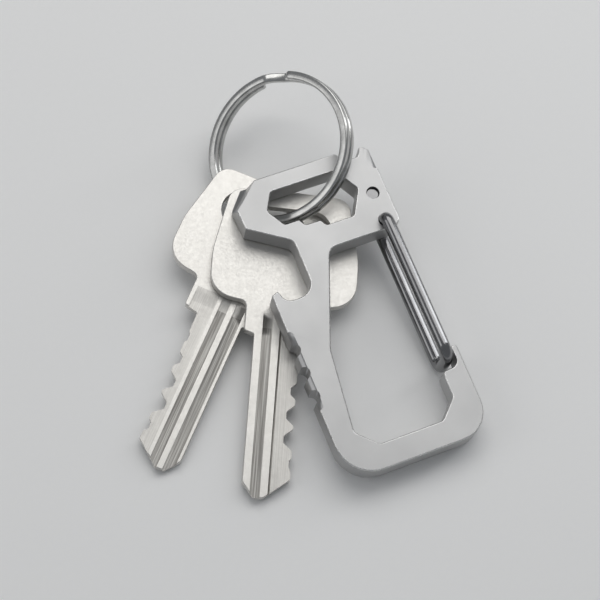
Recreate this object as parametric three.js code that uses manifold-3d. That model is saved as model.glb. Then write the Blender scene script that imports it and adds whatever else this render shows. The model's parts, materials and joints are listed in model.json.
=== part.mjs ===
// Carabiner keyring: a flat pocket-tool carabiner with a sprung wire gate, a double-coil
// split ring through its nut slot, and two door keys hanging on the ring.
// Millimetres, +Z up. Everything is built in the plate's own frame (x across, y from the
// hook end to the eye end, z from the plate's back face up) and then laid down on the
// three points it rests on.
import * as THREE from 'three';
import { mergeVertices } from 'three/addons/utils/BufferGeometryUtils.js';
import Module from 'manifold-3d';

const wasm = await Module();
wasm.setup();

// ---- driving dimensions -------------------------------------------------------------

const clearance = 0.3; // air between pieces that touch in use
const chordError = 0.03; // how far a straight step may leave its arc
const sharp = 0.3; // radius of corners that only lose their edge
const holeSteps = 20; // sides of a round hole
const past = 1; // how far a cutter reaches outside the metal

// plate
const plateLength = 61;
const plateWidth = 29;
const plateThick = 5;
const edgeBreak = 0.25; // chamfer round both faces
const frameBar = 4.7; // width of the hook arm and of the end bar
const eyeDepth = 17.7; // from the top edge down to the gate window
const spineTop = 13.9; // spine's inner edge under the eye, from the left side
const spineWaist = 6.4; // spine's width half way down
const spineFoot = 4.4; // spine's width at the end bar
const waistHeight = 24.5; // where the spine's inner edge bends, from the end
const endCorner = 7; // outer corner radius of the spine side
const hookCorner = 6; // outer corner radius of the hook side
const windowCorner = 3.6; // chamfered inner corners at the end bar
const hookHeight = 17.5; // tip of the hook, from the end
const hookTipRadius = 0.5;
const windowRadius = 1.2; // at both ends of the chamfered corners
const waistRadius = 5;
const shoulderRadius = 2.4; // where the spine meets the eye
const eyeRadius = 1.8; // lower right corner of the eye

// nut slot: three hexagons sharing their top flat
const topBar = 3.35;
const nutFlats = [7.1, 8.5, 9.8];
const slotLeft = 5.6; // from the plate's left side
const slotRight = 5.35; // from the plate's right side
const nutRadius = 0.7; // in the hexagons' corners

// bottle opener in the left side
const openerTop = 8.9; // upper lip, from the top edge
const openerSlope = 5.2; // how far the lip falls on its way in
const openerReach = 8; // how deep it goes in
const openerFloor = 25.1; // lowest point, from the top edge
const openerTooth = 2.6; // height of the tooth over the floor
const toothWidth = 1.4; // from the left side to its point
const toothFoot = 2.1; // and to its foot
const toothSlope = 0.5; // how far its outside falls
const lipSlope = 0.3; // how far the edge over the lip leans in
const roofRadius = 1.6; // of the opener's corners, from the lip down
const throatRadius = 3.2;
const toothRadius = 2;

// screwdriver blade in the upper left corner
const driverInset = 5.5; // where the ramp starts, from the corner
const driverTip = 3; // how much of the corner is cut off
const driverThick = 1.5;
const driverRamp = 1;
const driverAngle = 133; // direction the ramp falls in, degrees from +x
const driverSkew = 0.4; // the corner's cut is this much longer down the side

// pry tip in the upper right corner
const pryRadius = 3.4;
const pryTaper = 0.6; // its radius shrinks by this
const pryThick = 4.1;
const pryRise = 2.9; // centre of the scoop, below the top edge
const pryAside = 1; // and outside the right side
const pryTip = 1.9; // width of the tip, from the right side
const notchWidth = 4.7; // of the notch beside the tip
const notchDepth = 2.1;
const notchSlope = 0.95; // lean of its two sides
const notchRise = 0.4; // its left end is higher by this
const notchRadius = 0.6;
const tipSlope = 0.8; // the tip falls by this to the right side
const tipDrop = 0.3; // its top is this far below the top edge

// scraper bevel on the left side, with three round bites
const bevelLength = 16;
const bevelWidth = 1;
const bevelDepth = 0.7;
const bevelStart = 30.3; // upper end, from the end bar's outer edge
const biteRadius = 1.3;
const bitePitch = 4.75;
const biteCount = 3;
const firstBite = 3.6; // below the bevel's upper end
const biteAside = 0.1; // centres outside the left side

// wire gate
const wireDiameter = 2.4;
const pinDiameter = 2; // turned-down ends of the wire
const pivotInset = 2.9; // pivots, from the right side
const frontPivot = 1.8; // front pivot, above the window
const pivotStep = 5.9; // back pivot, above the front one
const pinReach = 2.6; // how deep the front end sits in the plate
const wireBend = 2.4; // centre-line radius of the U in the hook
const wireStub = 0.05; // straight left at each end of the wire, past its bend
const gateAir = 0.4; // air between the wire and the plate's faces
const seatPlay = 0.65; // play of the wire in the hook's seat
const seatDrop = 2.05; // seat's centre, below the hook's tip
const seatFoot = 3.4; // where the hook's inner side starts, below the seat's centre
const wireSides = 8; // half of them

// keys
const keyThick = 1.8;
const keyEdge = 0.12; // chamfer round both faces
const bladeWidth = 8.8;
const bladeLength = 31.4;
const bladeGroove = 0.55; // depth of the grooves
const bladeRelief = 0.25; // depth of the milled flat along the cut side
const grooveReach = 4.4; // how far both run up into the neck
const millRadius = 20; // of the wheel that cuts them and leaves their sloping ends
const grooves = { // on each face: where they start, from the blade's back, and their width
  front: [[1.5, 1.9], [4.8, 0.4]],
  back: [[0.6, 2], [3.7, 1.8]],
};
const milledFlat = { front: [5.2, 3.8], back: [6.2, 4.6] };
const bowWidth = 28;
const bowLength = 29.3;
const bowWidest = 10; // where the bow stops widening, above the neck
const bowCheek = 1; // lower corners of the bow, above the neck
const bowTaper = 2.6; // narrower at the top, on each side
const bowCrown = 0.4; // rise of the top in the middle
const bowRadii = { cheek: 5, side: 12, corner: 3, crown: 30 };
const neckWidth = 13.5;
const neckLength = 6.4;
const neckRadius = 1.2;
const shoulderSkew = 0.6; // the two shoulders differ by this
const bowOffset = 0.5; // bow's centre line, from the blade's
const holeWidth = 16.8;
const holeHeight = 7.8;
const holeRim = 3.2; // from the bow's top to the hole
const holeRound = 0.96; // share of its height taken by the corner radii
const cutPitch = 4.7;
const firstCut = 6.8; // middle of the cut nearest the tip, from the tip
const cutSlope = 0.8; // run of a cut's side for each millimetre of depth
const cutLead = 0.1; // step where a cut's side starts
const cutFloor = 1.4; // flat at the root of a cut
const tipFlat = [2.2, 4]; // ends of the flat tip, from the blade's back
const tipRise = [2.8, 4]; // height of the tip's slopes at the back and at the cuts
const tipRadius = 0.5;
const lowerKeyTurn = 45.6; // direction of each blade, degrees from +x
const upperKeyTurn = 64;
const lowerKeyCuts = [0.8, 1.9, 1.7, 1, 0.5]; // depth of each cut, from the tip
const upperKeyCuts = [0.5, 1.8, 1.6, 1.1, 0.4];
const lowerKeyHang = [0, 0.4]; // hole's centre from the wire: down the blade, and across
const upperKeyHang = [1.5, 1.75];

// split ring
const ringDiameter = 30.4;
const ringWidth = 1.7; // of the wire, across the ring
const coilThick = 1.5; // of one coil
const coilGap = 0.2;
const ringPitch = 3.5; // its far side leans down by this, degrees
const pitchShare = 0.514; // share of that which needs room under the lower key
const ringPlay = 1.1; // from the slot's lower edge to the ring
const ringRoom = 1.6; // from the slot's right end to where the ring passes the plate's face
const topRoom = 1.3; // and from where it passes over the top bar
const ringCorner = 0.4; // radius of the wire's corners
const ringSteps = 132;
const ringEntry = 9.025; // left of the slot's middle, where the ring goes under the plate
const entryShare = 0.5592; // how far that is from the ring's centre, as a share of its radius
const jogStart = 81; // where the wire steps down a coil, degrees round the ring
const jogLength = 20; // degrees
const ringEndGap = 2; // degrees between the step and each wire end

// ---- worked out from them -----------------------------------------------------------

const half = plateWidth / 2;
const windowTop = plateLength - eyeDepth;
const slotTop = plateLength - topBar;
const gateX = half - pivotInset;
const frontPivotY = windowTop + frontPivot;
const backPivotY = frontPivotY + pivotStep;
const seatY = hookHeight - seatDrop;
const upperKeyTop = -clearance;
const lowerKeyTop = upperKeyTop - keyThick - clearance;
const ringHeight = 2 * coilThick + coilGap;
const ringRadius = (ringDiameter - ringWidth) / 2;
const degree = Math.PI / 180;
const pitchRoom = pitchShare * ringRadius * Math.sin(ringPitch * degree);

const steel = { color: 0xc4c4c2, roughness: 0.45, metalness: 0.9 };
const polished = { color: 0xb9bbbd, roughness: 0.18, metalness: 1 };
const plated = { color: 0xa9a9a6, roughness: 0.25, metalness: 1 };
const nickel = { color: 0xdad7d0, roughness: 0.4, metalness: 0.85 };

// ---- helpers ------------------------------------------------------------------------

// A closed outline through [x, y, radius] corners, each corner rounded by its radius.
function roundedPath(corners, PathType = THREE.Shape) {
  const path = new PathType();
  const count = corners.length;
  for (let i = 0; i < count; i += 1) {
    const [px, py] = corners[(i + count - 1) % count];
    const [x, y, radius = 0] = corners[i];
    const [nx, ny] = corners[(i + 1) % count];
    const before = new THREE.Vector2(px - x, py - y).normalize();
    const after = new THREE.Vector2(nx - x, ny - y).normalize();
    const turn = Math.acos(THREE.MathUtils.clamp(before.dot(after), -1, 1));
    const reach = radius / Math.tan(turn / 2);
    const start = new THREE.Vector2(x, y).addScaledVector(before, reach);
    if (i === 0) path.moveTo(start.x, start.y);
    else path.lineTo(start.x, start.y);
    if (radius > 0) {
      const side = Math.sign(before.x * after.y - before.y * after.x);
      const middle = before.clone().add(after).normalize();
      const centre = new THREE.Vector2(x, y).addScaledVector(middle, radius / Math.sin(turn / 2));
      const end = new THREE.Vector2(x, y).addScaledVector(after, reach);
      const from = Math.atan2(start.y - centre.y, start.x - centre.x);
      const to = Math.atan2(end.y - centre.y, end.x - centre.x);
      path.absarc(centre.x, centre.y, radius, from, to, side > 0);
    }
  }
  path.closePath();
  return path;
}

// The outline as straight steps: arcs keep within chordError of their curve, and points
// that fall together where arcs meet are dropped.
function stepped(path) {
  const points = [];
  for (const curve of path.curves) {
    const radius = curve.isEllipseCurve ? curve.xRadius : 0;
    const chord = 2 * Math.sqrt(2 * radius * chordError);
    const steps = radius > 0 ? Math.ceil(curve.getLength() / chord) : 1;
    points.push(...curve.getPoints(steps));
  }
  const apart = points.filter((point, i) => {
    const last = points[(i + points.length - 1) % points.length];
    return point.distanceTo(last) > 0.01;
  });
  return new THREE.Shape(apart);
}

// A prism of an outline between two heights, with an optional broken edge.
function slab(shape, bottom, top, broken = 0) {
  const geometry = new THREE.ExtrudeGeometry(stepped(shape), {
    depth: top - bottom - 2 * broken,
    bevelEnabled: broken > 0,
    bevelSize: broken,
    bevelThickness: broken,
    bevelOffset: -broken,
    bevelSegments: 1,
  });
  geometry.translate(0, 0, bottom + broken);
  return geometry;
}

// The chamfer of a hole's edge at one face: widest well outside the metal.
function flare(shape, face) {
  const geometry = new THREE.ExtrudeGeometry(stepped(shape), {
    depth: edgeBreak / 2,
    bevelEnabled: true,
    bevelSize: 2 * edgeBreak,
    bevelThickness: 2 * edgeBreak,
    bevelSegments: 1,
  });
  const outward = face > 0 ? edgeBreak : -edgeBreak - edgeBreak / 2;
  geometry.translate(0, 0, face + outward);
  return geometry;
}

function solid(geometry) {
  const bare = geometry.clone();
  bare.deleteAttribute('normal');
  bare.deleteAttribute('uv');
  const merged = mergeVertices(bare, 1e-4);
  const index = merged.index.array;
  const faces = [];
  for (let i = 0; i < index.length; i += 3) {
    const [a, b, c] = index.slice(i, i + 3);
    if (a !== b && b !== c && c !== a) faces.push(a, b, c);
  }
  return new wasm.Manifold(new wasm.Mesh({
    numProp: 3,
    vertProperties: new Float32Array(merged.attributes.position.array),
    triVerts: new Uint32Array(faces),
  }));
}

function piece(name, body, finish) {
  const mesh = body.getMesh();
  const geometry = new THREE.BufferGeometry();
  geometry.setAttribute('position', new THREE.BufferAttribute(mesh.vertProperties, 3));
  geometry.setIndex(new THREE.BufferAttribute(mesh.triVerts, 1));
  geometry.computeVertexNormals();
  const result = new THREE.Mesh(geometry, new THREE.MeshStandardMaterial(finish));
  result.name = name;
  return result;
}

// ---- plate --------------------------------------------------------------------------

function plateOutline() {
  const floorY = plateLength - openerFloor;
  const lipY = plateLength - openerTop;
  const throatX = -half + openerReach;
  const notchLeft = half - pryTip - notchWidth;
  const barLeft = -half + spineFoot;
  const barRight = half - frameBar;
  return roundedPath([
    [-half, plateLength - driverTip - driverSkew, sharp],
    [-half + lipSlope, lipY, sharp],
    [throatX, lipY - openerSlope, roofRadius],
    [throatX, floorY, throatRadius],
    [-half + toothFoot, floorY, toothRadius],
    [-half + toothWidth, floorY + openerTooth, sharp],
    [-half, floorY + openerTooth - toothSlope, sharp],
    [-half, 0, endCorner],
    [half, 0, hookCorner],
    [half, hookHeight, hookTipRadius],
    ...seatCorners(),
    [barRight, seatY - seatFoot, hookTipRadius],
    [barRight, frameBar + windowCorner, windowRadius],
    [barRight - windowCorner, frameBar, windowRadius],
    [barLeft + windowCorner, frameBar, windowRadius],
    [barLeft, frameBar + windowCorner, windowRadius],
    [-half + spineWaist, waistHeight, waistRadius],
    [-half + spineTop, windowTop, shoulderRadius],
    [half, windowTop, eyeRadius],
    [half, plateLength - tipSlope, notchRadius],
    [half - pryTip, plateLength - tipDrop, sharp],
    [half - pryTip - notchSlope, plateLength - notchDepth, notchRadius],
    [notchLeft + notchSlope, plateLength - notchDepth + notchRise, notchRadius],
    [notchLeft, plateLength, notchRadius],
    [-half + driverTip, plateLength, sharp],
  ]);
}

// The hook's inner side: a round seat that the closed gate springs into.
function seatCorners() {
  const radius = wireDiameter / 2 + seatPlay;
  const lead = hookTipRadius / 2;
  return [
    [gateX + radius - lead, hookHeight, sharp],
    [gateX + radius, seatY - radius, radius - lead],
    [half - frameBar + lead, seatY - radius - lead, hookTipRadius],
  ];
}

function hexCorners(flats, centreX) {
  const radius = flats / Math.sqrt(3);
  const centreY = slotTop - flats / 2;
  const corners = [];
  for (let i = 0; i < 6; i += 1) {
    const angle = i * 60 * degree;
    corners.push([centreX + radius * Math.cos(angle), centreY + radius * Math.sin(angle), nutRadius]);
  }
  return corners;
}

function slotCentres() {
  const left = -half + slotLeft + nutFlats[0] / Math.sqrt(3);
  const right = half - slotRight - nutFlats[2] / Math.sqrt(3);
  return [left, (left + right) / 2, right];
}

function makePlate() {
  let body = solid(slab(plateOutline(), 0, plateThick, edgeBreak));
  slotCentres().forEach((centreX, i) => {
    const hexagon = roundedPath(hexCorners(nutFlats[i], centreX));
    body = body.subtract(solid(slab(hexagon, -past, plateThick + past)));
    body = body.subtract(solid(flare(hexagon, 0)));
    body = body.subtract(solid(flare(hexagon, plateThick)));
  });
  const pivotHole = (pinDiameter + 2 * clearance) / 2;
  for (const y of [frontPivotY, backPivotY]) {
    const bore = new THREE.CylinderGeometry(pivotHole, pivotHole, plateThick + 2 * past, holeSteps);
    bore.rotateX(Math.PI / 2);
    bore.translate(gateX, y, plateThick / 2);
    body = body.subtract(solid(bore));
  }
  body = body.subtract(driverCutter());
  body = body.subtract(pryCutter());
  body = body.subtract(bevelCutter());
  for (let i = 0; i < biteCount; i += 1) {
    const bite = new THREE.CylinderGeometry(biteRadius, biteRadius, plateThick + 2 * past, holeSteps);
    bite.rotateX(Math.PI / 2);
    bite.translate(-half - biteAside, bevelStart - firstBite - i * bitePitch, plateThick / 2);
    body = body.subtract(solid(bite));
  }
  return piece('carabiner_plate', body, steel);
}

// Everything above the screwdriver blade, ending in a steep ramp.
function driverCutter() {
  const far = 2 * driverInset;
  const profile = new THREE.Shape();
  profile.moveTo(0, plateThick);
  profile.lineTo(driverRamp, driverThick);
  profile.lineTo(far, driverThick);
  profile.lineTo(far, plateThick + past);
  profile.lineTo(0, plateThick + past);
  const cutter = new THREE.ExtrudeGeometry(profile, { depth: 2 * far, bevelEnabled: false });
  cutter.rotateX(Math.PI / 2);
  cutter.translate(0, far, 0);
  cutter.rotateZ(driverAngle * degree);
  cutter.translate(-half + driverInset / 2, plateLength - driverInset / 2, 0);
  return solid(cutter);
}

// A round scoop that thins the pry tip.
function pryCutter() {
  const cutter = new THREE.CylinderGeometry(pryRadius, pryRadius - pryTaper, plateThick, 2 * holeSteps);
  cutter.rotateX(Math.PI / 2);
  cutter.translate(half + pryAside, plateLength - pryRise, pryThick + plateThick / 2);
  return solid(cutter);
}

// A long wedge off the front edge of the left side, rounded at both ends by the mill.
function bevelCutter() {
  const wedge = new THREE.Shape();
  wedge.moveTo(-half - past, plateThick - bevelDepth * (1 + past / bevelWidth));
  wedge.lineTo(-half + bevelWidth, plateThick);
  wedge.lineTo(-half + bevelWidth, plateThick + past);
  wedge.lineTo(-half - past, plateThick + past);
  const cutter = new THREE.ExtrudeGeometry(wedge, { depth: bevelLength, bevelEnabled: false });
  cutter.rotateX(Math.PI / 2);
  cutter.translate(0, bevelStart, 0);
  const reach = roundedPath([
    [-half - 2 * past, bevelStart],
    [-half - 2 * past, bevelStart - bevelLength],
    [-half + bevelWidth, bevelStart - bevelLength, bevelWidth],
    [-half + bevelWidth, bevelStart, bevelWidth],
  ]);
  return solid(cutter).intersect(solid(slab(reach, 0, plateThick + past)));
}

// ---- wire gate ----------------------------------------------------------------------

// A curve that runs straight from each given point to the next, one step for each.
class StationCurve extends THREE.Curve {
  constructor(stations) {
    super();
    this.stations = stations;
  }

  getPointAt(u, target = new THREE.Vector3()) {
    const place = u * (this.stations.length - 1);
    const before = Math.min(Math.floor(place), this.stations.length - 2);
    return target.lerpVectors(this.stations[before], this.stations[before + 1], place - before);
  }

  getSpacedPoints(steps) {
    return Array.from({ length: steps + 1 }, (_, i) => this.getPointAt(i / steps));
  }

  getTangentAt(u, target = new THREE.Vector3()) {
    const step = 0.5 / (this.stations.length - 1);
    const ahead = this.getPointAt(Math.min(u + step, 1));
    return target.copy(ahead).sub(this.getPointAt(Math.max(u - step, 0))).normalize();
  }
}

// The wire's centre line in the y-z plane: out of the front pivot, along the front, round
// the U in the hook, and along the back into the back pivot.
function wireStations() {
  const high = plateThick + gateAir + wireDiameter / 2;
  const low = -gateAir - wireDiameter / 2;
  const pinBend = wireDiameter / 2 + wireStub;
  const path = new THREE.Path();
  path.moveTo(frontPivotY, high - pinBend - wireStub);
  path.lineTo(frontPivotY, high - pinBend);
  path.absarc(frontPivotY - pinBend, high - pinBend, pinBend, 0, Math.PI / 2);
  path.absarc(seatY + wireBend, high - wireBend, wireBend, Math.PI / 2, Math.PI);
  path.absarc(seatY + wireBend, low + wireBend, wireBend, Math.PI, 1.5 * Math.PI);
  path.absarc(backPivotY - pinBend, low + pinBend, pinBend, -Math.PI / 2, 0);
  path.lineTo(backPivotY, low + pinBend + wireStub);
  return path.getPoints(4).map((point) => new THREE.Vector3(gateX, point.x, point.y));
}

function makeGate() {
  const section = new THREE.Shape();
  section.absarc(0, 0, wireDiameter / 2, 0, 2 * Math.PI, false);
  const stations = wireStations();
  const rod = new THREE.ExtrudeGeometry(section, {
    steps: stations.length - 1,
    curveSegments: wireSides,
    bevelEnabled: false,
    extrudePath: new StationCurve(stations),
  });
  const pinTop = plateThick + gateAir + wireDiameter / 2;
  const pinBottom = plateThick - pinReach;
  const pin = new THREE.CylinderGeometry(pinDiameter / 2, pinDiameter / 2, pinTop - pinBottom, 2 * wireSides);
  pin.rotateX(Math.PI / 2);
  pin.translate(gateX, frontPivotY, (pinTop + pinBottom) / 2);
  return piece('wire_gate', solid(rod).add(solid(pin)), polished);
}

// ---- split ring ---------------------------------------------------------------------

// The lean that lets the ring pass over the slot's right end and under the lower key.
function ringPose() {
  const left = -half + slotLeft;
  const right = half - slotRight;
  const centreX = (left + right) / 2 - ringEntry + entryShare * ringRadius;
  const lowFace = lowerKeyTop - keyThick - clearance - pitchRoom;
  const highFace = plateThick + clearance;
  const inner = ringRadius - ringWidth / 2;
  const centreY = slotTop - nutFlats[0] + ringPlay + ringDiameter / 2;
  const overTop = Math.sqrt(inner ** 2 - (centreY - slotTop) ** 2) - topRoom;
  const reach = Math.min(right - ringRoom - centreX, overTop);
  const rise = (a) => reach * Math.tan(a) + inner * Math.sin(a);
  const need = (a) => highFace - lowFace + ringHeight / 2 * (1 / Math.cos(a) + Math.cos(a));
  const step = 0.02 * degree;
  let lean = 0;
  while (rise(lean) < need(lean)) lean += step;
  const centreZ = lowFace - ringHeight / 2 * Math.cos(lean) + inner * Math.sin(lean);
  return { lean, centre: new THREE.Vector3(centreX, centreY, centreZ) };
}

const pose = ringPose();

function placeRing(object) {
  object.rotation.set(-ringPitch * degree, -pose.lean, 0, 'YXZ');
  object.position.copy(pose.centre);
  object.updateMatrix();
  return object;
}

// Point of the ring's wire on its lower side, where it passes a given height.
function wireAtHeight(z) {
  const probe = placeRing(new THREE.Object3D());
  let best = new THREE.Vector3();
  let miss = Infinity;
  for (let angle = Math.PI; angle <= 1.65 * Math.PI; angle += degree / 2) {
    const point = new THREE.Vector3(Math.cos(angle), Math.sin(angle), 0);
    point.multiplyScalar(ringRadius).applyMatrix4(probe.matrix);
    if (Math.abs(point.z - z) < miss) {
      miss = Math.abs(point.z - z);
      best = point;
    }
  }
  return best;
}

// Two turns of flat wire, with one step down from the upper coil to the lower.
class RingCurve extends THREE.Curve {
  getPoint(t, target = new THREE.Vector3()) {
    const jog = jogLength * degree;
    const open = ringEndGap * degree;
    const sweep = 4 * Math.PI - jog - 2 * open;
    const travelled = t * sweep;
    const angle = (jogStart - jogLength - ringEndGap) * degree - travelled;
    const turn = 2 * Math.PI - jog - open;
    const down = THREE.MathUtils.smoothstep(travelled, turn, turn + jog);
    const pitch = coilThick + coilGap;
    return target.set(ringRadius * Math.cos(angle), ringRadius * Math.sin(angle), pitch * (0.5 - down));
  }
}

function makeRing() {
  const a = coilThick / 2;
  const b = ringWidth / 2;
  const corners = [[-a, -b], [a, -b], [a, b], [-a, b]];
  const section = roundedPath(corners.map((corner) => [...corner, ringCorner]));
  const wire = new THREE.ExtrudeGeometry(section, {
    steps: ringSteps, curveSegments: 1, bevelEnabled: false, extrudePath: new RingCurve(),
  });
  const ring = piece('split_ring', solid(wire), plated);
  return placeRing(ring);
}

// ---- keys ---------------------------------------------------------------------------

// Outline with the blade's back on x = 0, the tip at y = 0 and the cuts on the +x side.
function keyOutline(cuts) {
  const middle = bladeWidth / 2 + bowOffset;
  const top = bladeLength + bowLength;
  const neckTop = bladeLength + neckLength;
  const side = bowWidth / 2;
  const corners = [[0, tipRise[0], tipRadius], [tipFlat[0], 0, tipRadius], [tipFlat[1], 0, tipRadius]];
  corners.push([bladeWidth, tipRise[1], sharp]);
  cuts.forEach((depth, i) => {
    const y = firstCut + i * cutPitch;
    const reach = cutFloor / 2 + depth * cutSlope;
    corners.push([bladeWidth - cutLead, y - reach, sharp]);
    corners.push([bladeWidth - depth, y - cutFloor / 2, sharp]);
    corners.push([bladeWidth - depth, y + cutFloor / 2, sharp]);
    corners.push([bladeWidth - cutLead, y + reach, sharp]);
  });
  corners.push([bladeWidth, bladeLength - shoulderSkew, sharp]);
  corners.push([middle + neckWidth / 2, bladeLength, tipRadius]);
  corners.push([middle + neckWidth / 2, neckTop, neckRadius]);
  corners.push([middle + side, neckTop + bowCheek, bowRadii.cheek]);
  corners.push([middle + side, neckTop + bowWidest, bowRadii.side]);
  corners.push([middle + side - bowTaper, top, bowRadii.corner]);
  corners.push([middle, top + bowCrown, bowRadii.crown]);
  corners.push([middle - side + bowTaper, top, bowRadii.corner]);
  corners.push([middle - side, neckTop + bowWidest, bowRadii.side]);
  corners.push([middle - side, neckTop + bowCheek, bowRadii.cheek]);
  corners.push([middle - neckWidth / 2, neckTop, neckRadius]);
  corners.push([middle - neckWidth / 2, bladeLength + shoulderSkew, tipRadius]);
  corners.push([0, bladeLength, sharp]);
  return roundedPath(corners);
}

function holeCentre() {
  const top = bladeLength + bowLength;
  return new THREE.Vector2(bladeWidth / 2 + bowOffset, top - holeRim - holeHeight / 2);
}

function holePath() {
  const c = holeCentre();
  const w = holeWidth / 2;
  const h = holeHeight / 2;
  const corners = [[-w, -h], [w, -h], [w, h], [-w, h]];
  return roundedPath(corners.map(([x, y]) => [c.x + x, c.y + y, h * holeRound]));
}

// What the mill takes off one face of the blade, from past its tip up into the neck.
function milledCut([x, width], depth, face) {
  const side = face === 'front' ? 1 : -1;
  const surface = face === 'front' ? keyThick : 0;
  const slope = Math.acos(1 - depth / millRadius);
  const leave = slope * 1.1; // the mill lifts clear of the face
  const clear = surface + side * past;
  const end = bladeLength + grooveReach - millRadius * Math.sin(slope);
  const toMetal = -side * Math.PI / 2;
  const profile = new THREE.Shape();
  profile.moveTo(-past, surface - side * depth);
  profile.lineTo(end, surface - side * depth);
  profile.absarc(end, surface + side * (millRadius - depth), millRadius, toMetal,
    toMetal + side * leave, side < 0);
  profile.lineTo(end + millRadius * Math.sin(leave), clear);
  profile.lineTo(-past, clear);
  const cutter = new THREE.ExtrudeGeometry(stepped(profile), { depth: width, bevelEnabled: false });
  cutter.rotateX(Math.PI / 2);
  cutter.rotateZ(Math.PI / 2);
  cutter.translate(x, 0, 0);
  return solid(cutter);
}

function makeKey(name, cuts, flipped) {
  let body = solid(slab(keyOutline(cuts), 0, keyThick, keyEdge));
  body = body.subtract(solid(slab(holePath(), -past, keyThick + past)));
  for (const face of ['front', 'back']) {
    for (const cut of grooves[face]) {
      body = body.subtract(milledCut(cut, bladeGroove, face));
    }
    body = body.subtract(milledCut(milledFlat[face], bladeRelief, face));
  }
  const centre = holeCentre();
  body = body.translate([-centre.x, -centre.y, 0]);
  if (flipped) body = body.rotate([0, 180, 0]).translate([0, 0, keyThick]);
  return piece(name, body, nickel);
}

function placeKey(key, turn, top, [down, across]) {
  const crossing = wireAtHeight(top - keyThick / 2);
  key.rotation.z = (turn - 90) * degree;
  key.position.copy(new THREE.Vector3(across, -down, 0).applyEuler(key.rotation));
  key.position.add(new THREE.Vector3(crossing.x, crossing.y, top - keyThick));
  return key;
}

// ---- assembly -----------------------------------------------------------------------

const stack = new THREE.Group();
const plate = makePlate();
const gate = makeGate();
const ring = makeRing();
const lowerKey = placeKey(makeKey('lower_key', lowerKeyCuts, true), lowerKeyTurn, lowerKeyTop, lowerKeyHang);
const upperKey = placeKey(makeKey('upper_key', upperKeyCuts, false), upperKeyTurn, upperKeyTop, upperKeyHang);
stack.add(plate, gate, ring, lowerKey, upperKey);
stack.updateMatrixWorld(true);

// It rests on the hook's corner, the lower key's tip and the lowest side of the ring.
function restPoints() {
  const hookFoot = new THREE.Vector3(half - hookCorner, 0, 0);
  const tip = new THREE.Vector3(tipFlat[0] - bladeWidth / 2, -holeCentre().y, bladeRelief);
  const keyFoot = lowerKey.localToWorld(tip);
  const ringFoot = ring.localToWorld(new THREE.Vector3(-ringRadius, 0, -ringHeight / 2));
  return [hookFoot, keyFoot, ringFoot];
}

const [hookFoot, keyFoot, ringFoot] = restPoints();
const alongKey = keyFoot.clone().sub(hookFoot);
const alongRing = ringFoot.clone().sub(hookFoot);
const floorNormal = new THREE.Vector3().crossVectors(alongRing, alongKey).normalize();
stack.quaternion.setFromUnitVectors(floorNormal, new THREE.Vector3(0, 0, 1));

const object = new THREE.Group();
object.add(stack);
object.updateMatrixWorld(true);
const bounds = new THREE.Box3().setFromObject(object, true);
stack.position.set(-(bounds.min.x + bounds.max.x) / 2, -(bounds.min.y + bounds.max.y) / 2, -bounds.min.z);
object.updateMatrixWorld(true);

export default object;
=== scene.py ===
import json
import math

import bmesh
import bpy
from mathutils import Matrix, Quaternion, Vector


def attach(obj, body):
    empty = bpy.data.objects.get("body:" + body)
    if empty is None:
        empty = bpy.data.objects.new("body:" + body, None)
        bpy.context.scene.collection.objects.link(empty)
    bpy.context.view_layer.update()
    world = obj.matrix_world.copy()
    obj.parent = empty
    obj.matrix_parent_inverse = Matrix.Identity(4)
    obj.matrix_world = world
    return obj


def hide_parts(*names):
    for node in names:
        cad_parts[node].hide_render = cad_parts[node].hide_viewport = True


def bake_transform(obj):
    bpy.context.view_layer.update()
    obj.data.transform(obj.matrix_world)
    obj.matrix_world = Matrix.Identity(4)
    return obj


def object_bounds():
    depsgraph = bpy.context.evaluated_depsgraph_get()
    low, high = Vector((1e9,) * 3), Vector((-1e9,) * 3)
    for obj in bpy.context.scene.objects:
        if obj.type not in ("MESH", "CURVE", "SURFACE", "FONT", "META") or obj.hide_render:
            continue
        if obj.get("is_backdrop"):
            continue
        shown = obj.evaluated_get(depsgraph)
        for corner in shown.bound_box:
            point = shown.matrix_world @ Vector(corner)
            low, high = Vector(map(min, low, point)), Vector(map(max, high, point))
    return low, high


mm = 0.001

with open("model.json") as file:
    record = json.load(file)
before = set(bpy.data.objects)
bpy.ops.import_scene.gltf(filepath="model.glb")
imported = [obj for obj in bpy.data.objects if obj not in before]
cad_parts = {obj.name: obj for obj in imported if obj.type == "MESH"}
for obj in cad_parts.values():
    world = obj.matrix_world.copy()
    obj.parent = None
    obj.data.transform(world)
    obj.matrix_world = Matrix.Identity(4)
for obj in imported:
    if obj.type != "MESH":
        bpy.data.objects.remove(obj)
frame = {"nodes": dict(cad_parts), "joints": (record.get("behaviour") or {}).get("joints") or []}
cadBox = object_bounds()
joints = {joint["name"]: joint for joint in frame["joints"]}
print("frame: {} nodes, {} joints".format(len(frame["nodes"]), len(joints)))


# places that everything else hangs on, all from the record's joints

def plateSpace():
    # origin on the front pivot half way through the plate, x across, y towards the ring, z out
    hinge = joints["gate_hinge"]
    turn = Vector((0, 0, 1)).rotation_difference(-Vector(hinge["axis"]))
    return Matrix.Translation(hinge["pos_m"]) @ turn.to_matrix().to_4x4()


def ringSpace():
    # origin on the ring's centre, z along its axis, x the way it leans
    turn = joints["ring_turn"]
    axis = Vector(turn["axis"]).normalized()
    side = onPlate.to_3x3().col[1].cross(axis).normalized()
    rows = Matrix((side, axis.cross(side), axis)).transposed()
    return Matrix.Translation(turn["pos_m"]) @ rows.to_4x4()


onPlate = plateSpace()
onRing = ringSpace()


# small helpers for meshes

meshing = {
    "weld": 0.002 * mm, "flatAngle": 0.5,  # faces within this many degrees become one
    "wireSharp": 50, "evenWeight": 80,
}


def link(thing):
    bpy.context.scene.collection.objects.link(thing)
    return thing


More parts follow.
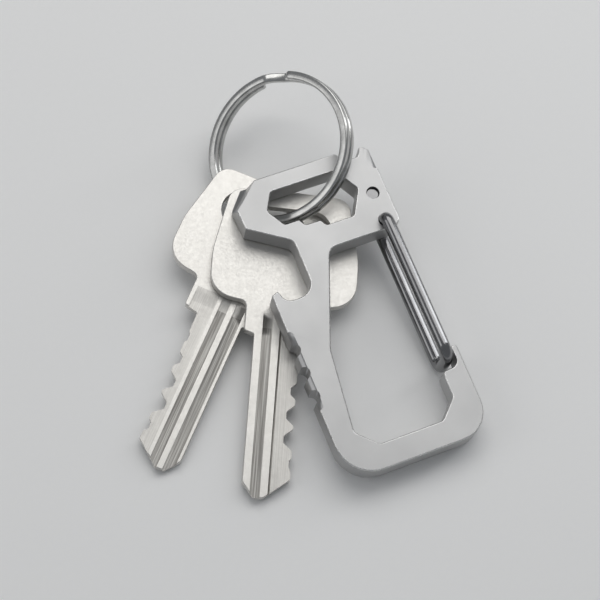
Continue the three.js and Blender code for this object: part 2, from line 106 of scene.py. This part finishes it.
def meshFromNode(node, name):
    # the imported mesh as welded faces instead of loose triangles
    mesh = frame["nodes"][node].data.copy()
    mesh.name = name
    mesh.materials.clear()
    work = bmesh.new()
    work.from_mesh(mesh)
    bmesh.ops.remove_doubles(work, verts=work.verts, dist=meshing["weld"])
    bmesh.ops.dissolve_limit(work, angle_limit=math.radians(meshing["flatAngle"]),
                             verts=work.verts, edges=work.edges)
    work.to_mesh(mesh)
    work.free()
    return link(bpy.data.objects.new(name, mesh))


def settled(thing):
    # its modifiers become its own mesh
    evaluated = thing.evaluated_get(bpy.context.evaluated_depsgraph_get())
    mesh = bpy.data.meshes.new_from_object(evaluated)
    mesh.name = thing.name
    thing.modifiers.clear()
    old = thing.data
    thing.data = mesh
    bpy.data.meshes.remove(old)
    return thing


def crispShading(thing, keepSharp):
    # flat faces stay flat, and narrow chamfers take the whole turn of the light
    thing.data.shade_smooth()
    thing.data.set_sharp_from_angle(angle=math.radians(keepSharp))
    weighted = thing.modifiers.new("even light", "WEIGHTED_NORMAL")
    weighted.mode = "FACE_AREA"
    weighted.keep_sharp = True
    weighted.weight = meshing["evenWeight"]
    return settled(thing)


def smoothWire(thing):
    thing.data.shade_smooth()
    thing.data.set_sharp_from_angle(angle=math.radians(meshing["wireSharp"]))


def markFaces(thing, name, amount):
    # a number for each face, which its material reads
    mask = thing.data.attributes.new(name, "FLOAT", "FACE")
    mask.data.foreach_set("value", [amount(face) for face in thing.data.polygons])


def finishPiece(thing, body, slot, *nodes):
    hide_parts(*nodes)
    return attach(thing, body)


# materials, all of them metal but the floor

noiseSpan = (0.3, 0.7)  # where most of a noise's values lie


def newFinish(name):
    finish = bpy.data.materials.new(name)
    finish.use_nodes = True
    tree = finish.node_tree
    return finish, tree, tree.nodes["Principled BSDF"]


def addNode(tree, kind, inputs=None, **settings):
    node = tree.nodes.new(kind)
    for key, value in settings.items():
        setattr(node, key, value)
    for socket, value in (inputs or {}).items():
        if isinstance(value, bpy.types.NodeSocket):
            tree.links.new(value, node.inputs[socket])
        else:
            node.inputs[socket].default_value = value
    return node


def grainNoise(tree, vector, scale, detail=3, roughness=0.6, distortion=0.0):
    return addNode(tree, "ShaderNodeTexNoise", {
        "Vector": vector, "Scale": scale, "Detail": detail, "Roughness": roughness,
        "Distortion": distortion}).outputs["Fac"]


def ramp(tree, value, low, high, start, end):
    # maps value from low..high to start..end
    return addNode(tree, "ShaderNodeMapRange", {
        "Value": value, "From Min": low, "From Max": high, "To Min": start,
        "To Max": end}).outputs["Result"]


def blendColour(tree, share, first, second):
    mix = addNode(tree, "ShaderNodeMix", data_type="RGBA")
    factor, colourA, colourB = mix.inputs[0], mix.inputs[6], mix.inputs[7]
    for socket, value in ((factor, share), (colourA, first), (colourB, second)):
        if isinstance(value, bpy.types.NodeSocket):
            tree.links.new(value, socket)
        else:
            socket.default_value = value
    return mix.outputs[2]


def blendValue(tree, share, first, second):
    return addNode(tree, "ShaderNodeMix", {0: share, 2: first, 3: second}).outputs[0]


def bumpFrom(tree, height, strength, distance, under=None):
    inputs = {"Height": height, "Strength": strength, "Distance": distance}
    if under is not None:
        inputs["Normal"] = under
    return addNode(tree, "ShaderNodeBump", inputs).outputs["Normal"]


def product(tree, first, second):
    return addNode(tree, "ShaderNodeMath", {0: first, 1: second}, operation="MULTIPLY").outputs[0]


def objectPoints(tree, space=None, scale=(1, 1, 1)):
    # Object coordinates, turned so that x, y and z follow the given space
    points = addNode(tree, "ShaderNodeTexCoord").outputs["Object"]
    if space is None:
        return points
    back = space.inverted()
    turned = addNode(tree, "ShaderNodeMapping", {
        "Vector": points, "Location": back.translation,
        "Rotation": back.to_euler()}).outputs["Vector"]
    return addNode(tree, "ShaderNodeMapping", {"Vector": turned, "Scale": scale}).outputs["Vector"]


blastedSteel = {
    "light": (0.53, 0.53, 0.53, 1), "dark": (0.50, 0.50, 0.50, 1), "rough": (0.43, 0.47),
    "patches": 90, "grain": 5200, "bump": 0.25, "bumpDepth": 0.02 * mm,
    "worn": (0.80, 0.80, 0.79, 1), "wornRough": 0.24,
    "wornSpots": 1560, "wornSpan": (0.35, 0.6), "wornLeast": 0.35,
}


def makeBlastedSteel():
    finish, tree, shader = newFinish("blastedSteel")
    points = objectPoints(tree)
    patches = grainNoise(tree, points, blastedSteel["patches"], detail=4)
    grain = grainNoise(tree, points, blastedSteel["grain"], detail=2)
    spots = grainNoise(tree, points, blastedSteel["wornSpots"])
    wear = addNode(tree, "ShaderNodeAttribute", attribute_name="edgeWear").outputs["Fac"]
    wear = product(tree, wear, ramp(tree, spots, *blastedSteel["wornSpan"], blastedSteel["wornLeast"], 1))
    colour = blendColour(tree, ramp(tree, patches, *noiseSpan, 0, 1),
                         blastedSteel["light"], blastedSteel["dark"])
    colour = blendColour(tree, wear, colour, blastedSteel["worn"])
    rough = ramp(tree, patches, *noiseSpan, *blastedSteel["rough"])
    rough = blendValue(tree, wear, rough, blastedSteel["wornRough"])
    bumps = bumpFrom(tree, grain, blastedSteel["bump"], blastedSteel["bumpDepth"])
    tree.links.new(colour, shader.inputs["Base Color"])
    tree.links.new(rough, shader.inputs["Roughness"])
    tree.links.new(bumps, shader.inputs["Normal"])
    shader.inputs["Metallic"].default_value = 1
    return finish


polishedWire = {
    "colour": (0.27, 0.27, 0.275, 1), "stain": (0.17, 0.17, 0.175, 1), "rough": (0.11, 0.22),
    "smears": 260, "smearSpan": (0.35, 0.75), "smearMost": 0.6,
    "scratches": (2600, 70, 2600),  # drawn out along the wire
    "bump": 0.12, "bumpDepth": 0.01 * mm,
}


def makePolishedWire():
    finish, tree, shader = newFinish("polishedWire")
    along = objectPoints(tree, onPlate, polishedWire["scratches"])
    scratches = grainNoise(tree, along, 1, detail=4)
    smears = grainNoise(tree, objectPoints(tree), polishedWire["smears"])
    stained = ramp(tree, smears, *polishedWire["smearSpan"], 0, polishedWire["smearMost"])
    colour = blendColour(tree, stained, polishedWire["colour"], polishedWire["stain"])
    rough = ramp(tree, scratches, *noiseSpan, *polishedWire["rough"])
    bumps = bumpFrom(tree, scratches, polishedWire["bump"], polishedWire["bumpDepth"])
    tree.links.new(colour, shader.inputs["Base Color"])
    tree.links.new(rough, shader.inputs["Roughness"])
    tree.links.new(bumps, shader.inputs["Normal"])
    shader.inputs["Metallic"].default_value = 1
    return finish


platedRing = {
    "colour": (0.56, 0.56, 0.55, 1), "stain": (0.38, 0.38, 0.37, 1), "rough": (0.12, 0.24),
    "smears": 320, "smearSpan": (0.35, 0.7), "smearMost": 0.8, "smearRough": (0.8, 1.3),
    "lines": 3800, "bump": 0.2, "bumpDepth": 0.012 * mm,
}


def makePlatedRing():
    finish, tree, shader = newFinish("platedRing")
    # brushed lines that run round the ring: a pattern of radius and height only
    parts = addNode(tree, "ShaderNodeSeparateXYZ", {0: objectPoints(tree, onRing)}).outputs
    flat = addNode(tree, "ShaderNodeCombineXYZ", {0: parts[0], 1: parts[1]}).outputs[0]
    radius = addNode(tree, "ShaderNodeVectorMath", {0: flat}, operation="LENGTH").outputs["Value"]
    around = addNode(tree, "ShaderNodeCombineXYZ", {0: radius, 1: parts[2]}).outputs[0]
    lines = grainNoise(tree, around, platedRing["lines"])
    smears = grainNoise(tree, objectPoints(tree), platedRing["smears"], detail=4)
    stained = ramp(tree, smears, *platedRing["smearSpan"], 0, platedRing["smearMost"])
    colour = blendColour(tree, stained, platedRing["colour"], platedRing["stain"])
    rough = product(tree, ramp(tree, lines, *noiseSpan, *platedRing["rough"]),
                    ramp(tree, smears, *noiseSpan, *platedRing["smearRough"]))
    bumps = bumpFrom(tree, lines, platedRing["bump"], platedRing["bumpDepth"])
    tree.links.new(colour, shader.inputs["Base Color"])
    tree.links.new(rough, shader.inputs["Roughness"])
    tree.links.new(bumps, shader.inputs["Normal"])
    shader.inputs["Metallic"].default_value = 1
    return finish


tumbledNickel = {
    "light": (0.74, 0.725, 0.695, 1), "dark": (0.65, 0.635, 0.605, 1), "rough": (0.30, 0.50),
    "patches": 700, "patchSpan": (0.3, 0.75),
    "pits": 2400, "pitBump": 0.35, "pitDepth": 0.03 * mm,
    "milled": (0.26, 0.25, 0.235, 1), "milledRough": 0.5,
    "marks": (5200, 55, 5200),  # the mill's lines, drawn out along the blade
    "markSpan": (0.3, 0.62), "markLeast": 0.25, "markBump": 0.5, "markDepth": 0.05 * mm,
    "metallic": 0.92,
}


def makeTumbledNickel(name, space):
    finish, tree, shader = newFinish(name)
    points = objectPoints(tree)
    patches = grainNoise(tree, points, tumbledNickel["patches"], detail=6, roughness=0.72)
    pits = grainNoise(tree, points, tumbledNickel["pits"], detail=4, roughness=0.7, distortion=0.6)
    along = objectPoints(tree, space, tumbledNickel["marks"])
    marks = grainNoise(tree, along, 1, detail=2)
    milled = addNode(tree, "ShaderNodeAttribute", attribute_name="milled").outputs["Fac"]
    colour = blendColour(tree, ramp(tree, patches, *tumbledNickel["patchSpan"], 0, 1),
                         tumbledNickel["light"], tumbledNickel["dark"])
    markShare = ramp(tree, marks, *tumbledNickel["markSpan"], tumbledNickel["markLeast"], 1)
    colour = blendColour(tree, product(tree, milled, markShare), colour, tumbledNickel["milled"])
    rough = ramp(tree, pits, *noiseSpan, *tumbledNickel["rough"])
    rough = blendValue(tree, milled, rough, tumbledNickel["milledRough"])
    rubbed = bumpFrom(tree, pits, tumbledNickel["pitBump"], tumbledNickel["pitDepth"])
    ridges = bumpFrom(tree, product(tree, marks, milled), tumbledNickel["markBump"],
                      tumbledNickel["markDepth"], rubbed)
    tree.links.new(colour, shader.inputs["Base Color"])
    tree.links.new(rough, shader.inputs["Roughness"])
    tree.links.new(ridges, shader.inputs["Normal"])
    shader.inputs["Metallic"].default_value = tumbledNickel["metallic"]
    return finish


# plate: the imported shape, with its chamfers worn bright

plate = {
    "keepSharp": 50,
    "chamferFrom": 0.66, "chamferTo": 0.76,  # the share of a chamfer's normal that points out
}


def makePlate():
    body = meshFromNode("carabiner_plate", "plateBody")
    out = onPlate.to_3x3().col[2]

    def worn(face):
        return 1.0 if plate["chamferFrom"] < abs(face.normal.dot(out)) < plate["chamferTo"] else 0.0

    body = crispShading(body, plate["keepSharp"])
    markFaces(body, "edgeWear", worn)
    body.data.materials.append(makeBlastedSteel())
    finishPiece(body, "plate", "plate_steel", "carabiner_plate")
    print("plate: {} faces".format(len(body.data.polygons)))


makePlate()


# gate and ring: wires, swept by Geometry Nodes along a line of points

flatInputs = (("Width", "NodeSocketFloat"), ("Height", "NodeSocketFloat"), ("Corner", "NodeSocketFloat"))
roundInputs = (("Radius", "NodeSocketFloat"), ("Sides", "NodeSocketInt"))
cornerPoints = 4  # round each corner of the flat wire


def wireTree(name, flat):
    tree = bpy.data.node_groups.new(name, "GeometryNodeTree")
    sizes = flatInputs if flat else roundInputs
    sockets = {}
    for label, kind in (("Line", "NodeSocketGeometry"), *sizes, ("Finish", "NodeSocketMaterial")):
        sockets[label] = tree.interface.new_socket(label, in_out="INPUT", socket_type=kind).identifier
    tree.interface.new_socket("Wire", in_out="OUTPUT", socket_type="NodeSocketGeometry")
    given = tree.nodes.new("NodeGroupInput").outputs
    line = addNode(tree, "GeometryNodeMeshToCurve", {"Mesh": given["Line"]})
    upright = addNode(tree, "GeometryNodeSetCurveNormal", {"Curve": line.outputs[0]})
    upright.mode = "Z_UP" if flat else "MINIMUM_TWIST"
    if flat:
        section = addNode(tree, "GeometryNodeCurvePrimitiveQuadrilateral", {
            "Width": given["Width"], "Height": given["Height"]})
        section = addNode(tree, "GeometryNodeFilletCurve", {
            "Curve": section.outputs[0], "Radius": given["Corner"]})
        section.mode = "POLY"
        section.inputs["Count"].default_value = cornerPoints
    else:
        section = addNode(tree, "GeometryNodeCurvePrimitiveCircle", {
            "Resolution": given["Sides"], "Radius": given["Radius"]})
    swept = addNode(tree, "GeometryNodeCurveToMesh", {
        "Curve": upright.outputs[0], "Profile Curve": section.outputs[0], "Fill Caps": True})
    thickness = addNode(tree, "GeometryNodeInputNamedAttribute", {"Name": "thickness"},
                        data_type="FLOAT")
    tree.links.new(thickness.outputs["Attribute"], swept.inputs["Scale"])
    whole = addNode(tree, "GeometryNodeRealizeInstances", {"Geometry": swept.outputs[0]})
    painted = addNode(tree, "GeometryNodeSetMaterial", {
        "Geometry": whole.outputs[0], "Material": given["Finish"]})
    output = tree.nodes.new("NodeGroupOutput")
    tree.links.new(painted.outputs[0], output.inputs[0])
    return tree, sockets


def sweepWire(name, points, tree, sockets, values, space):
    # points are (place, thickness), and the swept mesh is put in its place
    mesh = bpy.data.meshes.new(name)
    edges = [(i, i + 1) for i in range(len(points) - 1)]
    mesh.from_pydata([place for place, _ in points], edges, [])
    scale = mesh.attributes.new("thickness", "FLOAT", "POINT")
    scale.data.foreach_set("value", [thickness for _, thickness in points])
    wire = link(bpy.data.objects.new(name, mesh))
    sweep = wire.modifiers.new("sweep", "NODES")
    sweep.node_group = tree
    for label, value in values.items():
        sweep[sockets[label]] = value
    settled(wire)
    wire.data.transform(space)
    spare = wire.data.attributes.get("thickness")
    if spare:
        wire.data.attributes.remove(spare)
    work = bmesh.new()
    work.from_mesh(wire.data)
    bmesh.ops.recalc_face_normals(work, faces=work.faces)
    work.to_mesh(wire.data)
    work.free()
    smoothWire(wire)
    return wire


def arc(centreY, centreZ, radius, start, end, steps):
    # upright, in the plane that the gate lies in, from start to end in degrees
    turns = [math.radians(start + (end - start) * i / steps) for i in range(steps + 1)]
    return [Vector((0, centreY + radius * math.cos(turn), centreZ + radius * math.sin(turn)))
            for turn in turns]


def straight(start, end, step):
    count = max(1, round((end - start).length / step))
    return [start.lerp(end, i / count) for i in range(count + 1)]


def thick(places, thickness=1.0):
    return [(place, thickness) for place in places]


gate = {
    "radius": 1.18 * mm, "sides": 40, "height": 1.6 * mm, "plateHalf": 2.5 * mm,
    "seat": 29.65 * mm,  # the hook's seat, below the front pivot
    "backPivot": 5.9 * mm,  # the back pivot, above the front one
    "bend": 2.4 * mm, "pinBend": 1.3 * mm, "pinThickness": 0.93,
    "frontPin": 0.1 * mm,  # how far below the plate's middle the front pin ends
    "backPin": 1.8 * mm,  # how far above it the back one ends
    "tailFrom": 11 * mm, "flexTo": 3 * mm,
    "frontNeck": 0.6 * mm, "backNeck": 0.3 * mm,  # from a pin up to its bend
    "bendSteps": 20, "pinSteps": 14, "legStep": 2 * mm, "pinStep": 1 * mm, "tailStep": 0.7 * mm,
}


def makeGate():
    high = gate["plateHalf"] + gate["height"]
    bend, pinBend, seat, tail = gate["bend"], gate["pinBend"], gate["seat"], gate["tailFrom"]
    pin = gate["pinThickness"]
    tree, sockets = wireTree("roundWire", False)
    values = {"Radius": gate["radius"], "Sides": gate["sides"], "Finish": makePolishedWire()}

    pinTop = Vector((0, 0, high - pinBend - gate["frontNeck"]))
    front = thick(straight(Vector((0, 0, -gate["frontPin"])), pinTop, gate["pinStep"]), pin)
    front += thick(arc(-pinBend, high - pinBend, pinBend, 0, 90, gate["pinSteps"]))
    legTop, legEnd = Vector((0, -pinBend, high)), Vector((0, bend - seat, high))
    front += thick(straight(legTop, legEnd, gate["legStep"])[1:-1])
    front += thick(arc(bend - seat, high - bend, bend, 90, 180, gate["bendSteps"]))
    front += thick(arc(bend - seat, bend - high, bend, 180, 270, gate["bendSteps"]))
    backStart, backEnd = Vector((0, bend - seat, -high)), Vector((0, -tail, -high))
    front += thick(straight(backStart, backEnd, gate["legStep"])[1:])
    wire = sweepWire("gateWire", front, tree, sockets, values, onPlate)
    finishPiece(wire, "gate", "gate_steel", "wire_gate")

    # the back leg is swept as a piece of its own and left unattached: it stays in its hole while the rest
    # swings
    turnY = gate["backPivot"] - pinBend
    back = thick(straight(backEnd, Vector((0, turnY, -high)), gate["tailStep"])[:-1])
    back += thick(arc(turnY, pinBend - high, pinBend, -90, 0, gate["pinSteps"]))
    pinFoot = Vector((0, gate["backPivot"], pinBend + gate["backNeck"] - high))
    pinEnd = Vector((0, gate["backPivot"], gate["backPin"]))
    back += thick(straight(pinFoot, pinEnd, gate["pinStep"]), pin)
    leg = sweepWire("gateTail", back, tree, sockets, values, onPlate)
    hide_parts("wire_gate")
    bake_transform(leg)
    print("gate: {} and {} faces".format(len(wire.data.polygons), len(leg.data.polygons)))


makeGate()


wholeTurn = 360

ring = {
    "diameter": 28.7 * mm,  # of the wire's middle
    "width": 1.66 * mm, "coil": 1.45 * mm, "gap": 0.25 * mm, "corner": 0.36 * mm, "steps": 420,
    "jogStart": 81, "jogLength": 20, "endGap": 2,  # in degrees round the ring
    "endBevel": 0.12 * mm, "bevelSteps": 3, "bevelFrom": 60,
    "endSize": 0.68, "endRound": 0.6 * mm,  # the ends narrow to this share, over this length
    "endSteps": (0.08, 0.2, 0.35, 0.55, 0.8),  # in shares of it
}


def wireTurns():
    # how far the wire runs, in degrees: two turns less the jog and both ends' gaps
    return 2 * wholeTurn - ring["jogLength"] - 2 * ring["endGap"]


def ringPoint(share):
    # with one step down from the upper coil to the lower
    jog, endGap = ring["jogLength"], ring["endGap"]
    travelled = share * wireTurns()
    angle = math.radians(ring["jogStart"] - jog - endGap - travelled)
    down = min(max((travelled - (wholeTurn - jog - endGap)) / jog, 0), 1)
    down = down * down * (3 - 2 * down)
    radius = ring["diameter"] / 2
    height = (ring["coil"] + ring["gap"]) * (0.5 - down)
    return Vector((radius * math.cos(angle), radius * math.sin(angle), height))


def makeRing():
    tree, sockets = wireTree("flatWire", True)
    values = {"Width": ring["width"], "Height": ring["coil"], "Corner": ring["corner"],
              "Finish": makePlatedRing()}
    length = math.radians(wireTurns()) * ring["diameter"] / 2
    shares = [i / ring["steps"] for i in range(ring["steps"] + 1)]
    for near in ring["endSteps"]:
        shares += [near * ring["endRound"] / length, 1 - near * ring["endRound"] / length]
    points = []
    for share in sorted(shares):
        inward = min(min(share, 1 - share) * length / ring["endRound"], 1)  # 0 at an end of the wire
        rounded = math.sqrt(1 - (1 - inward) ** 2)
        points.append((ringPoint(share), ring["endSize"] + (1 - ring["endSize"]) * rounded))
    wire = sweepWire("splitRing", points, tree, sockets, values, onRing)
    ends = wire.modifiers.new("rounded ends", "BEVEL")
    ends.width = ring["endBevel"]
    ends.segments = ring["bevelSteps"]
    ends.limit_method = "ANGLE"
    ends.angle_limit = math.radians(ring["bevelFrom"])
    settled(wire)
    smoothWire(wire)
    finishPiece(wire, "ring", "ring_steel", "split_ring")
    print("ring: {} faces".format(len(wire.data.polygons)))


makeRing()


# keys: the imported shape, tumbled smooth, with milled grooves

key = {
    "keepSharp": 32, "levelFrom": 0.9,  # how nearly a cut's floor faces out
    "milledFrom": 0.08 * mm, "milledShare": 0.35,  # a shallow cut shows its lines less
    "grooveFrom": 0.4 * mm,
}


def bladeSpace(mesh, out):
    # y along the blade, from the longest straight edge
    edge = max(mesh.edges, key=lambda e: (mesh.vertices[e.vertices[0]].co
                                          - mesh.vertices[e.vertices[1]].co).length)
    first, second = (mesh.vertices[v].co for v in edge.vertices)
    along = (first - second).normalized()
    across = along.cross(out).normalized()
    rows = Matrix((across, along, out)).transposed()
    return Matrix.Translation(first) @ rows.to_4x4()


def makeKey(node, name, body):
    piece = meshFromNode(node, name)
    out = onPlate.to_3x3().col[2]
    heights = [vertex.co.dot(out) for vertex in piece.data.vertices]
    low, high = min(heights), max(heights)
    space = bladeSpace(piece.data, out)

    def milled(face):
        if abs(face.normal.dot(out)) < key["levelFrom"]:
            return 0.0
        depth = min(face.center.dot(out) - low, high - face.center.dot(out))
        if depth > key["grooveFrom"]:
            return 1.0
        return key["milledShare"] if depth > key["milledFrom"] else 0.0

    piece = crispShading(piece, key["keepSharp"])
    markFaces(piece, "milled", milled)
    piece.data.materials.append(makeTumbledNickel(name + "Nickel", space))
    finishPiece(piece, body, "key_metal", node)
    print("{}: {} faces".format(name, len(piece.data.polygons)))


makeKey("lower_key", "lowerKey", "lower_key_body")
makeKey("upper_key", "upperKey", "upper_key_body")


# floor, light and camera

studio = {
    "floor": (0.92, 0.92, 0.915, 1), "floorSize": 3.0, "floorRough": 0.6,
    "speck": (0.8, 0.8, 0.79, 1), "specks": 900, "speckMost": 0.06,
    "sky": (0.85, 0.88, 0.92, 1), "skyPower": 0.30,
    # direction from the object, distance, width, height, power, colour
    "lights": {
        "overhead": ((0.25, 0.42, 0.90), 0.62, 0.62, 0.50, 1.5, (1.0, 0.99, 0.97)),
        "leftPanel": ((-0.80, 0.22, 0.60), 0.60, 0.34, 0.34, 0.36, (1.0, 0.99, 0.98)),
        "rightStrip": ((0.90, 0.15, 0.50), 0.60, 0.10, 0.50, 0.5, (0.98, 0.99, 1.0)),
    },
}


def makeStudio():
    scene = bpy.context.scene
    half = studio["floorSize"] / 2
    mesh = bpy.data.meshes.new("floor")
    corners = [(-half, -half, 0), (half, -half, 0), (half, half, 0), (-half, half, 0)]
    mesh.from_pydata(corners, [], [(0, 1, 2, 3)])
    floor = link(bpy.data.objects.new("floor", mesh))
    finish, tree, shader = newFinish("paleFloor")
    shader.inputs["Roughness"].default_value = studio["floorRough"]
    specks = grainNoise(tree, objectPoints(tree), studio["specks"], detail=2)
    speckShare = ramp(tree, specks, *noiseSpan, 0, studio["speckMost"])
    colour = blendColour(tree, speckShare, studio["floor"], studio["speck"])
    tree.links.new(colour, shader.inputs["Base Color"])
    mesh.materials.append(finish)
    floor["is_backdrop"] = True

    world = bpy.data.worlds.new("studio")
    world.use_nodes = True
    sky = world.node_tree.nodes["Background"]
    sky.inputs["Color"].default_value = studio["sky"]
    sky.inputs["Strength"].default_value = studio["skyPower"]
    scene.world = world

    centre = (cadBox[0] + cadBox[1]) / 2
    for name, (direction, distance, width, height, power, colour) in studio["lights"].items():
        lamp = bpy.data.lights.new(name, "AREA")
        lamp.shape = "RECTANGLE"
        lamp.size, lamp.size_y = width, height
        lamp.energy, lamp.color = power, colour
        holder = link(bpy.data.objects.new(name, lamp))
        toward = Vector(direction).normalized()
        holder.location = centre + toward * distance
        holder.rotation_mode = "QUATERNION"
        holder.rotation_quaternion = toward.to_track_quat("Z", "Y")


camera = {
    "azimuth": -27.5, "elevation": 64.38, "roll": 5.53, "distance": 351.95 * mm,
    "aim": (6.19 * mm, -5.54 * mm, 0),  # from the middle of the object's box
    "lens": 113.16, "sensor": 36, "near": 0.01, "far": 20,
}


def makeCamera():
    data = bpy.data.cameras.new("camera")
    data.lens = camera["lens"]
    data.sensor_width = camera["sensor"]
    holder = link(bpy.data.objects.new("camera", data))
    turn, rise = math.radians(camera["azimuth"]), math.radians(camera["elevation"])
    back = Vector((math.sin(turn) * math.cos(rise), -math.cos(turn) * math.cos(rise), math.sin(rise)))
    aim = (cadBox[0] + cadBox[1]) / 2 + Vector(camera["aim"])
    holder.location = aim + back * camera["distance"]
    holder.rotation_mode = "QUATERNION"
    upright = back.to_track_quat("Z", "Y")
    holder.rotation_quaternion = upright @ Quaternion((0, 0, 1), math.radians(camera["roll"]))
    data.clip_start, data.clip_end = camera["near"], camera["far"]
    bpy.context.scene.camera = holder


makeStudio()
makeCamera()
bpy.context.scene.view_settings.view_transform = "Standard"
print("studio: floor, {} lights, camera".format(len(studio["lights"])))

bpy.context.view_layer.update()
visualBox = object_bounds()
room = [visualBox[0][i] - cadBox[0][i] for i in range(3)]
room += [cadBox[1][i] - visualBox[1][i] for i in range(3)]
print("box: {:.4f} mm inside at the least".format(min(room) / mm))
